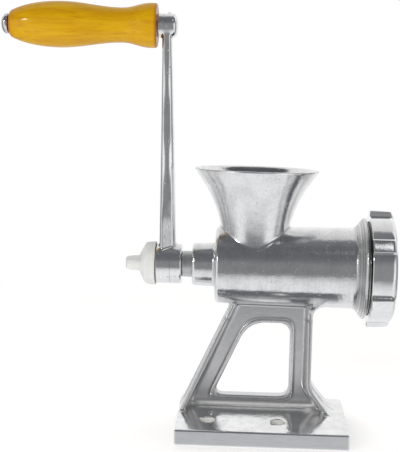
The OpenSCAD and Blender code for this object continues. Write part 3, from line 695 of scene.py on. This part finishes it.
# %% Section of the ring nut
nut_low, nut_high = span("ring_nut")
NUT_X0, NUT_X1 = nut_low[0], nut_high[0] + 0.5
LUG_R, NUT_R, NUT_BORE, LIP_R = nut_high[2] - AXIS, 39.15, 34.35, 28.0
SEAT_X, ARC_R, LUGS = NUT_X1 - 4.0, 40.0, 6
section = rounded([(NUT_X0, NUT_BORE, 0.4), (NUT_X0, NUT_R, 0.8), (NUT_X1, NUT_R, 4.2), (NUT_X1, LIP_R, 1.0),
                   (SEAT_X, LIP_R, 0.4), (SEAT_X, NUT_BORE, 0.4)], 8)
fill = [np.linspace(a, b, max(int(np.hypot(*(b - a)) / 0.5), 1), endpoint=False)
        for a, b in zip(section, np.roll(section, -1, 0))]
section = np.concatenate(fill)
lug_pitch = 2 * np.pi / LUGS
side = np.linspace(-1, 1, 21)
near_lug = np.concatenate([-3.6 + 0.5 * side, 6.8 + 1.9 * side])
between = np.concatenate([np.linspace(-2.9, 4.6, 9), np.linspace(9.1, lug_pitch * ARC_R - 4.4, 34)])
theta = np.concatenate([near_lug, between]) / ARC_R
theta = np.sort(np.concatenate([theta + k * lug_pitch for k in range(LUGS)]))
print("ring nut:", len(theta), "angles,", len(section), "places along the section")


# %% Ring nut
def lug_rise(angle, x):
    """Height above the plain ring: a lug at every pitch, with one steep side and one hollow side."""
    arc = ((angle + lug_pitch / 2) % lug_pitch - lug_pitch / 2) * ARC_R
    steep = rise(arc, -3.9, 0.6)
    hollow = rise(arc, 8.4, -3.3)
    along = rise(x, NUT_X0, NUT_X1 - NUT_X0)
    front = rise(x, NUT_X1 - 3.4, 3.4)
    return steep * (2 - steep) * hollow ** 2.5 * (LUG_R - NUT_R - 0.5 * along - 1.2 * front ** 3)


a, xs = theta[:, None], section[None, :, 0]
outer = rise(section[:, 1], NUT_R - 2.4, 2.4)
outer = (outer * outer * (3 - 2 * outer))[None]
threaded = np.abs(section[:, 1] - NUT_BORE) < 0.01
threaded &= (section[:, 0] < SEAT_X - 0.5) & (section[:, 0] > NUT_X0 + 0.5)
r = section[None, :, 1] + outer * lug_rise(a, xs)
r = r + np.where(threaded, 0.22 * np.cos(2 * np.pi * xs / THREAD_PITCH - a), 0)
points = np.stack(np.broadcast_arrays(xs, r * np.sin(a), AXIS + r * np.cos(a)), -1)
quads = wrap(*points.shape[:2], closed=True)
points = points.reshape(-1, 3)
normals = weighted_normals(points, quads)
make_piece("lug_ring", points, quads, normals, "nut", "ring_nut", mirror_aluminium)

# %% [markdown]
# ## Crank and thumb screw
#
# The crank is cast in one piece: a hub with a square hole, a tapering arm, and a round boss for the
# grip's bolt. The arm's bevels are filed by hand, so they come and go along it, and near the hub its
# front and back slope like a wedge. The thumb screw is moulded in white plastic: a round flange, a
# cone and a flat wing. A box with a Bevel modifier would give even edges, but both pieces have soft
# inner corners and edges that change on their way, so both are fields.

# %% Crank
HUB_X0, HUB_X1, HUB_R, SQUARE = -79.5, -60.5, 14.5, 6.6
ARM_X, FOOT_HALF, TOP_HALF, FOOT_DEPTH, TOP_DEPTH = -77.2, 6.0, 3.35, 10.4, 6.75
WEDGE_INSET, WEDGE_SLOPE, FILE_PITCH = 2.2, 0.36, 28
TIP_X0, TIP_X1, TIP_R, DOME_R, BOLT_SEAT_R, BOLT_SEAT_X = -80.6, -65.8, 8.7, 11.5, 4.12, -69.5


def arm(x, y, z):
    """A tapering bar: plain faces, two filed bevels, two chamfers and the sides, the largest of all."""
    up = np.clip((z - AXIS - HUB_R) / (GRIP_Z - AXIS - HUB_R), 0, 1)
    low = half_wave((174 - z) / 26)
    hx = FOOT_HALF + (TOP_HALF - FOOT_HALF) * up
    hy = FOOT_DEPTH + (TOP_DEPTH - FOOT_DEPTH) * (z - AXIS) / (GRIP_Z - AXIS) - WEDGE_INSET * low
    s, wave = x - ARM_X - hx, 0.66 + 0.34 * np.cos((z - 250) * np.pi / FILE_PITCH)
    left, right = np.tan(np.radians(23)) * wave, np.tan(np.radians(27)) * wave
    face = np.abs(y) - hy + WEDGE_SLOPE * s * low
    bevels = both(face + left * (-s - (0.28 + 0.5 * low) * hx),
                  face + right * (s - (0.26 + 0.5 * low) * hx), 0.5)
    chamfers = both((-s - (0.74 + 0.1 * low) * hx) * 0.766 + (face + 0.2 * hx) * 0.643,
                    (s - (0.68 + 0.1 * low) * hx) * 0.766 + (face + 0.13 * hx) * 0.643, 0.3)
    bar = both(both(both(bevels, face, 0.5), chamfers, 0.5), np.abs(s) - hx, 1.6)
    return both(bar, np.maximum(AXIS - z, z - GRIP_Z), 0.5)


def crank(x, y, z):
    """Hub and tip boss about their own axes, the arm between them, less the square and the bolt's seat."""
    hub = both(both(np.hypot(y, z - AXIS) - HUB_R, HUB_X0 - x, 0.8), x - HUB_X1, 1.6)
    r = np.hypot(y, z - GRIP_Z)
    dome = np.hypot(r * 0.75, x - TIP_X1 + DOME_R) - DOME_R
    tip = both(both(r - TIP_R, TIP_X0 - x, 1.0), dome, 2.0)
    nub = np.sqrt((x + 72.5) ** 2 + y ** 2 + (z - GRIP_Z - TIP_R + 0.3) ** 2) - 1.3
    solid = join(join(join(hub, arm(x, y, z), 2.0), tip, 1.6), nub, 0.8)
    square = np.maximum(np.abs(y), np.abs(z - AXIS)) - SQUARE
    seat = np.maximum(r - BOLT_SEAT_R, x - BOLT_SEAT_X)
    return both(solid, -np.minimum(square, seat), 0.8)


points, quads, normals = skin(crank, ladder(-82, 0.65, -59), ladder(-16, 0.75, 16),
                              ladder(AXIS - 16, 0.8, AXIS + 18, 1.5, GRIP_Z - 14, 0.7, GRIP_Z + 12))
make_piece("crank", points, quads, normals, "crank", "crank_arm", crank_aluminium,
           marks={"bend": bend(crank, points)})

# %% [markdown]
# The plastic is slightly translucent, so light goes a few millimetres into it. A faint cloudiness and
# an orange-peel surface keep it from looking like paint. The washer's nylon is made in the same way.

# %% Thumb screw plastic
def moulded(name, colour, shade, roughness, clear=0.0):
    """Moulded plastic: a faint cloudiness in colour and gloss, and a slight orange-peel surface."""
    made, tree, shader, place = new_material(name)
    dull = wear(tree, clouds_group, place, Scale=120.0)
    grain = node(tree, "TexNoise", {"Vector": place, "Scale": 900.0, "Detail": 2.0}).outputs["Fac"]
    tree.links.new(tint(tree, dull, (*colour, 1), (*shade, 1)), shader.inputs["Base Color"])
    tree.links.new(from_level(tree, roughness, dull, 0.12), shader.inputs["Roughness"])
    emboss(tree, shader, grain, 0.1, 0.0002)
    shader.inputs["Subsurface Weight"].default_value = clear
    shader.inputs["Subsurface Radius"].default_value = (0.004, 0.004, 0.0035)
    return made


white_plastic = moulded("white_plastic", (0.69, 0.69, 0.67), (0.65, 0.65, 0.63), 0.4, 0.35)
nylon = moulded("nylon", (0.8, 0.77, 0.69), (0.7, 0.67, 0.58), 0.5)
print("plastics:", white_plastic.name, nylon.name)

# %% Thumb screw
thumb_low, thumb_high = span("thumb_head")
THUMB_END, THUMB_FACE = thumb_low[0], thumb_high[0]
FLANGE_R, CONE_R, CONE_BACK, CONE_END, WING_HALF, STUD_R = 16, 13.4, 8.5, 12.5, 12.2, 4.02


def thumb(x, y, z):
    """Flange and cone about the shaft, and a wing that is cut to a shape seen from above."""
    rho = np.hypot(y, z - AXIS)
    back = THUMB_FACE - x
    radius = join(FLANGE_R - 0.1 * back, CONE_R - 2.0 * (back - CONE_BACK), 2.6)
    turned = both(both(rho - radius, back - CONE_END, 1.0), -back, 0.5)
    thick = 4.7 - 0.7 * (THUMB_FACE - CONE_BACK - x) / 13.8
    wing = both(both(np.abs(z - AXIS) - thick, np.abs(y) - WING_HALF, 6.0), THUMB_END - x, 1.2)
    wing = both(wing, (np.abs(y) - x + THUMB_END - 8.5) * 0.707, 5.0)
    wing = np.maximum(wing, x - THUMB_FACE + 5)
    solid = join(turned, wing, 2.0)
    return np.maximum(solid, -np.maximum(rho - STUD_R, THUMB_FACE - CONE_END - x))


points, quads, normals = skin(thumb, ladder(-104, 0.5, -78), ladder(-17, 0.55, 17),
                              ladder(AXIS - 17, 0.55, AXIS + 17))
make_piece("thumb_screw", points, quads, normals, "thumb_screw", "thumb_head", white_plastic)

# %% [markdown]
# ## Grip and bolt
#
# The grip is turned wood under amber lacquer, and the bolt through it ends in a bright dome.
# A Screw modifier could turn them, but the profile is a formula here: a quarter ellipse at the nose
# and half cosine waves from belly to waist and from waist to collar. The grain is noise that is
# stretched along the grip, and the lacquer is a coat over it.

# %% Wood
grip_low, grip_high = span("grip")
GRIP_X0, GRIP_X1 = grip_low[0], grip_high[0]


def drawn_out(tree, place, stretch, detail, roughness):
    """Noise that is stretched along the grip."""
    along = node(tree, "VectorMath", {0: place, 1: stretch}, operation="MULTIPLY").outputs[0]
    return node(tree, "TexNoise", {"Vector": along, "Scale": 1.0, "Detail": detail,
                                   "Roughness": roughness}).outputs["Fac"]


def lacquered(name):
    """Amber lacquer over wood: long fibres, darker pores, patches, specks, and red pools at both ends."""
    made, tree, shader, place = new_material(name)
    fibre = drawn_out(tree, place, (14.0, 260.0, 260.0), 6.0, 0.65)
    pores = drawn_out(tree, place, (40.0, 900.0, 900.0), 3.0, 0.6)
    patch = wear(tree, clouds_group, place, Scale=26.0)
    specks = wear(tree, dents_group, place, Scale=140.0, Size=0.14)
    shade = tint(tree, ramp(tree, fibre, 0.34, 0.68), (0.6, 0.345, 0.0008, 1), (0.5, 0.25, 0.0008, 1))
    shade = paint(tree, shade, ramp(tree, pores, 0.54, 0.7), 0.45, (0.33, 0.12, 0.002))
    shade = paint(tree, shade, patch, 0.4, (0.48, 0.22, 0.0008))
    shade = paint(tree, shade, specks, 0.5, (0.33, 0.16, 0.02))
    x_at = node(tree, "SeparateXYZ", {0: place}).outputs["X"]
    ends = sums(tree, "MAXIMUM", ramp(tree, x_at, GRIP_X0 * MM + 0.004, GRIP_X0 * MM),
                ramp(tree, x_at, GRIP_X1 * MM - 0.0025, GRIP_X1 * MM))
    shade = paint(tree, shade, ends, 0.75, (0.42, 0.12, 0.004))
    tree.links.new(shade, shader.inputs["Base Color"])
    tree.links.new(from_level(tree, 0.36, patch, 0.12), shader.inputs["Roughness"])
    shader.inputs["Specular IOR Level"].default_value = 0.04
    shader.inputs["Coat Weight"].default_value = 0.5
    shader.inputs["Coat Roughness"].default_value = 0.1
    emboss(tree, shader, sums(tree, "ADD", fibre, scaled(tree, pores, 0.4)), 0.12, 0.0006)
    return made


amber_wood = lacquered("amber_wood")
print("wood:", amber_wood.name)

# %% Grip
BELLY_R, WAIST_R, COLLAR_R, BELLY, NOSE = 16.5, 12.4, 15.9, 36.5, 43.5
GRIP_LENGTH, GRIP_EDGE = GRIP_X1 - GRIP_X0, 1.6


def grip_radius(s):
    """Radius at a distance s from the outer end."""
    waist, collar = GRIP_LENGTH - 25, GRIP_LENGTH - 5
    nose = BELLY_R * np.sqrt(np.maximum(1 - ((BELLY - s) / NOSE) ** 2, 0))
    back = BELLY_R + (WAIST_R - BELLY_R) * half_wave((s - BELLY) / (waist - BELLY))
    back = back + (COLLAR_R - WAIST_R) * half_wave((s - waist) / (collar - waist))
    return np.where(s < BELLY, nose, back)


def rim_arc(s):
    """How much an edge of quarter-round section takes off the radius near both ends."""
    near = np.clip(np.minimum(s, GRIP_LENGTH - s) / GRIP_EDGE, 0, 1)
    return GRIP_EDGE * (1 - np.sqrt(1 - (1 - near) ** 2))


s = GRIP_LENGTH * (half_wave(np.linspace(0, 1, 41)) * 0.5 + np.linspace(0, 1, 41) * 0.5)
ends = GRIP_EDGE * (1 - np.cos(np.linspace(0, np.pi / 2, 9)))
middle = s[(s > GRIP_EDGE) & (s < GRIP_LENGTH - GRIP_EDGE)]
s = np.unique(np.concatenate([middle, ends, GRIP_LENGTH - ends]))
profile = np.stack([GRIP_X0 + s, grip_radius(s) - rim_arc(s)], 1)
hole = np.array([[GRIP_X0 + 1.2, 4.6], [GRIP_X0, 5.2]])
mouth = np.array([[GRIP_X1, 5.2], [GRIP_X1 - 1.2, 4.6]])
points, quads, normals, caps = lathe(np.concatenate([hole, profile, mouth]), GRIP_Z)
make_piece("wooden_grip", points, quads, normals, "handle", "grip", amber_wood, caps)

# %% Bolt through the grip
bolt_low, bolt_high = span("grip_spindle")
HEAD_X0, BOLT_X1 = bolt_low[0], bolt_high[0]
HEAD_X1, HEAD_R, STEM_R = GRIP_X0 - 1.0, 7.35, 4.1
DOME_X = HEAD_X1 - 1.3
dome = np.linspace(0.02, 1, 16)
head = np.stack([DOME_X - (DOME_X - HEAD_X0) * np.sqrt(1 - (dome * 0.985) ** 2), HEAD_R * dome], 1)
stem = rounded([(DOME_X, HEAD_R, 0), (HEAD_X1, HEAD_R, 0.5), (HEAD_X1, STEM_R, 0.3), (BOLT_X1, STEM_R, 0.5),
                (BOLT_X1, 0.2, 0)], 5)
points, quads, normals, caps = lathe(np.concatenate([head, stem]), GRIP_Z, 96)
make_piece("grip_bolt", points, quads, normals, "crank", "grip_spindle", bright_plate, caps)

# %% [markdown]
# ## Worm and hole plate
#
# The worm shows from above through the funnel, and the hole plate through the ring nut. The
# worm's flight is a ramp that winds round the core: at each place the nearest turn is found from
# the angle, and the flight is what lies closer to it than half its thickness. The plate is a disc less
# rings of holes, and since every ring repeats, one hole per ring is enough.

# %% Worm
worm_low, worm_high = span("auger")
CORE_R, FLIGHT_R, PITCH, SHANK_R, TANG_HALF = 11.0, 24.7, 25.0, 9.55, 6.5
WORM_X0, WORM_X1, TANG_X0, SHANK_X0 = -29.15, worm_high[0], worm_low[0], -60.45
FLIGHT_X0, FLIGHT_X1 = WORM_X0 + 3.5, WORM_X1 - 3.5


def worm(x, y, z):
    """Core, shank and square tang about the shaft, and a left-handed flight round the core."""
    rho = np.hypot(y, z - AXIS)
    core = both(both(rho - CORE_R, WORM_X0 - x, 1.0), x - WORM_X1, 1.0)
    shank = np.maximum(both(rho - SHANK_R, SHANK_X0 - x, 0.8), x - WORM_X0 - 2)
    tang = both(both(np.abs(y) - TANG_HALF, np.abs(z - AXIS) - TANG_HALF, 1.0), TANG_X0 - x, 0.8)
    tang = np.maximum(tang, x + 59)
    turn = np.arctan2(-(z - AXIS), y) / (2 * np.pi)
    laps = (x - FLIGHT_X0) / PITCH - turn
    lap = np.clip(np.round(laps), np.ceil(-turn), np.floor((FLIGHT_X1 - FLIGHT_X0) / PITCH - turn))
    off = (laps - lap) * PITCH
    half = 3.5 + (1.8 - 3.5) * (rho - 9) / (FLIGHT_R - 9)
    flight = both((np.abs(off) - half) * 0.95, rho - FLIGHT_R, 1.2)
    solid = join(join(core, flight, 3.0), np.minimum(shank, tang), 1.0)
    return np.maximum(solid, -np.maximum(rho - 4.06, x + 61.5))


points, quads, normals = skin(worm, ladder(-80, 0.8, -28, 0.9, 73), ladder(-26, 0.95, 26),
                              ladder(AXIS - 26, 0.95, AXIS + 26))
make_piece("feed_worm", points, quads, normals, "worm", "auger", worm_casting,
           marks={"bend": bend(worm, points)})

# %% Hole plate
plate_low, plate_high = span("hole_plate")
PLATE_X0, PLATE_X1, PLATE_R, PILOT_R, NOTCH_R = plate_low[0], plate_high[0], 31.0, 4.06, 2.3
RING_PITCH, PLATE_HOLE_R = 7.4, 2.8


def plate(x, y, z):
    """A disc less the pilot's hole, the key's notch and three rings of holes."""
    rho, angle = np.hypot(y, z - AXIS), np.arctan2(z - AXIS, y)
    disc = both(both(rho - PLATE_R, PLATE_X0 - x, 0.7), x - PLATE_X1, 0.7)
    holes = np.minimum(rho - PILOT_R, np.hypot(y, z - AXIS - KEY_UP) - NOTCH_R)
    for ring in (1, 2, 3):
        part = np.pi / (3 * ring)
        off = angle % part - part / 2
        d = (ring + 0.35) * RING_PITCH
        away = np.sqrt(np.maximum(rho ** 2 + d ** 2 - 2 * rho * d * np.cos(off), 0))
        holes = np.minimum(holes, away - PLATE_HOLE_R)
    return both(disc, -holes, 0.7)


points, quads, normals = skin(plate, ladder(PLATE_X0 - 1, 0.6, PLATE_X1 + 1), ladder(-32, 0.62, 32),
                              ladder(AXIS - 32, 0.62, AXIS + 32))
make_piece("perforated_plate", points, quads, normals, "plate", "hole_plate", ground_steel)

# %% [markdown]
# ## What stays as CAD made it
#
# The knife, the studs, the bush, the washer and the key are plain machined pieces that sit
# inside the others. Their CAD shape is already right, so they only get a finish.

# %% Finishes for the CAD nodes
for name, finish in {"plate_key": ground_steel, "rear_bush": bearing_bronze, "thrust_washer": nylon,
                     "auger_stud": ground_steel, "knife": ground_steel, "thumb_stud": bright_plate}.items():
    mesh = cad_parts[name].data
    mesh.materials.clear()
    mesh.materials.append(finish)
    print(name, "->", finish.name)

# %% [markdown]
# ## Studio
#
# The grinder stands on white, in a soft studio: bright behind, white paper under it, a dim room above
# and behind the camera with a soft box on either side and a small one high up, and dim sides that
# give the polished metal its edges. Metal shows that room, so its shape matters more than the
# lamps. It could be built of lit panels, but a world whose brightness depends on the direction does
# the same with a few ramps. The floor gives the same levels to reflections, while the camera sees
# plain white with the shadow on it.

# %% Levels of the room
def level_ramp(tree, factor, stops, cool):
    """A ramp of greys over a factor from 0 to 1, the dark ones bluer by the given share."""
    made = tree.nodes.new("ShaderNodeValToRGB")
    tree.links.new(factor, made.inputs[0])
    bar = made.color_ramp.elements
    while len(bar) < len(stops):
        bar.new(0.5)
    for stop, (at, level) in zip(bar, stops):
        stop.position = at
        blue = cool * (1 - 0.8 * level)
        stop.color = (level * (1 - 0.5 * blue), level, level * (1 + blue), 1)
    return made.outputs[0]


def round_about(tree, place):
    """Brightness by compass direction: dim at the camera, soft boxes beside it, dark sides, white behind."""
    part = node(tree, "SeparateXYZ", {0: place})
    turn = sums(tree, "ARCTAN2", part.outputs["X"], scaled(tree, part.outputs["Y"], -1.0))
    away = sums(tree, "DIVIDE", sums(tree, "ABSOLUTE", turn, 0.0), np.pi)
    return level_ramp(tree, away, [(0.0, 0.24), (0.14, 0.3), (0.23, 0.95), (0.32, 0.95), (0.42, 0.42),
                                   (0.56, 0.32), (0.7, 0.36), (0.8, 0.9), (1.0, 0.98)], 0.03)


# %% Floor
REACH, FLOOR_Z = 4.0, -0.0003
corners = [(sx * REACH, sy * REACH, FLOOR_Z) for sx, sy in ((-1, -1), (1, -1), (1, 1), (-1, 1))]
floor_mesh = bpy.data.meshes.new("floor")
floor_mesh.from_pydata(corners, [], [(0, 1, 2, 3)])
floor = bpy.data.objects.new("floor", floor_mesh)
bpy.context.scene.collection.objects.link(floor)
paper, tree, shader, place = new_material("white_paper")
far = node(tree, "VectorMath", {0: place}, operation="LENGTH").outputs["Value"]
rays = node(tree, "LightPath")
by_camera = rays.outputs["Is Camera Ray"]
mirrored = sums(tree, "MAXIMUM", rays.outputs["Is Glossy Ray"], rays.outputs["Is Transmission Ray"])
outer = ramp(tree, far, 0.22, 0.6)
plain = scaled(tree, sums(tree, "SUBTRACT", 1.0, mirrored),
               sums(tree, "SUBTRACT", 1.0, scaled(tree, outer, by_camera)))
tree.links.new(tint(tree, plain, (0, 0, 0, 1), (0.87, 0.865, 0.855, 1)), shader.inputs["Base Color"])
shader.inputs["Roughness"].default_value = 0.9
shader.inputs["Specular IOR Level"].default_value = 0.0
in_metal = tint(tree, ramp(tree, far, 0.1, 0.5), (0.88, 0.885, 0.9, 1), round_about(tree, place))
to_camera = tint(tree, outer, (0.4, 0.395, 0.385, 1), (1, 1, 1, 1))
glow = tint(tree, by_camera, (0.5, 0.5, 0.5, 1), to_camera)
tree.links.new(tint(tree, mirrored, glow, in_metal), shader.inputs["Emission Color"])
shader.inputs["Emission Strength"].default_value = 1.0
floor_mesh.materials.append(paper)
print("floor", 2 * REACH, "m wide")

# %% Room
HIGH_BOX = (0.236, -0.583, 0.777)
room = bpy.data.worlds.new("studio")
bpy.context.scene.world = room
room.use_nodes = True
tree = room.node_tree
toward = node(tree, "TexCoord").outputs["Generated"]
part = node(tree, "SeparateXYZ", {0: toward})
up = part.outputs["Z"]
front = level_ramp(tree, up, [(0.0, 0.24), (0.34, 0.18), (0.64, 0.145), (0.9, 0.14), (1.0, 0.2)], 0.09)
back = level_ramp(tree, up, [(0.0, 1.0), (0.44, 0.97), (0.67, 0.88), (0.87, 0.78), (0.96, 0.72),
                             (1.0, 0.6)], 0.0)
overhead = tint(tree, ramp(tree, part.outputs["Y"], 0.0, 0.12), front, back)
seen = tint(tree, ramp(tree, up, 0.2, 0.5), round_about(tree, toward), overhead)
to_box = node(tree, "VectorMath", {0: toward, 1: HIGH_BOX}, operation="DOT_PRODUCT").outputs["Value"]
seen = tint(tree, ramp(tree, to_box, 0.992, 0.9955), seen, (1, 1, 1, 1))
shown = tint(tree, node(tree, "LightPath").outputs["Is Camera Ray"], seen, (1, 1, 1, 1))
tree.links.new(shown, tree.nodes["Background"].inputs["Color"])
print("world ramps:", sum(n.type == "VALTORGB" for n in tree.nodes))

# %% [markdown]
# The room alone is too even for wood and plastic. Two large lamps give them light and shade and are
# hidden from the metal. One small soft box shows in the metal too, as a sparkle on edges and domes.

# %% Lamps
def soft_lamp(name, place, aim, size, power, mirrored=False):
    """A square soft box that faces a point; only a mirrored one shows up in polished metal."""
    data = bpy.data.lights.new(name, "AREA")
    data.size, data.energy = size, power
    lamp = bpy.data.objects.new(name, data)
    lamp.location = place
    lamp.rotation_euler = (Vector(place) - Vector(aim)).to_track_quat("Z", "Y").to_euler()
    lamp.visible_glossy = mirrored
    bpy.context.scene.collection.objects.link(lamp)


soft_lamp("fill", (-0.35, -1.1, 0.5), (-0.03, 0, 0.16), 0.9, 6.4)
soft_lamp("top", (0.25, 0.1, 1.25), (0, 0, 0.1), 0.9, 2.8)
soft_lamp("soft_box", (-1.1, -1.05, 0.78), (-0.12, 0, 0.26), 0.16, 2.0, True)
print("lamps:", [light.name for light in bpy.data.lights])

# %% [markdown]
# ## Camera
#
# The place, turn and focal length come from fitting a camera to the straight edges of the base
# plate and to the shaft: a long lens, a little above the funnel's rim, looking slightly down.

# %% Camera
FOCAL_PX, LONG_SIDE_PX, CAMERA_MM = 1041.6, 452, (-9.4, -754.6, 245.8)
yaw, pitch, roll = np.radians([2.93, 7.51, 1.01])
ahead = np.array([-np.sin(yaw), np.cos(yaw), 0])
right = np.array([np.cos(yaw), np.sin(yaw), 0])
up = np.array([0, 0, 1.0])
look = np.cos(pitch) * ahead - np.sin(pitch) * up
top = np.sin(pitch) * ahead + np.cos(pitch) * up
right, top = np.cos(roll) * right + np.sin(roll) * top, np.cos(roll) * top - np.sin(roll) * right
lens = bpy.data.cameras.new("camera")
lens.sensor_width = 36.0
lens.lens = FOCAL_PX / LONG_SIDE_PX * lens.sensor_width
lens.clip_start, lens.clip_end = 0.01, 50
camera = bpy.data.objects.new("camera", lens)
turned = np.eye(4)
turned[:3, 0], turned[:3, 1], turned[:3, 2] = right, top, -look
turned[:3, 3] = np.array(CAMERA_MM) * MM
camera.matrix_world = Matrix(turned.tolist())
bpy.context.scene.collection.objects.link(camera)
bpy.context.scene.camera = camera
bpy.context.scene.view_settings.view_transform = "Standard"
print("lens", round(lens.lens, 2), "mm")
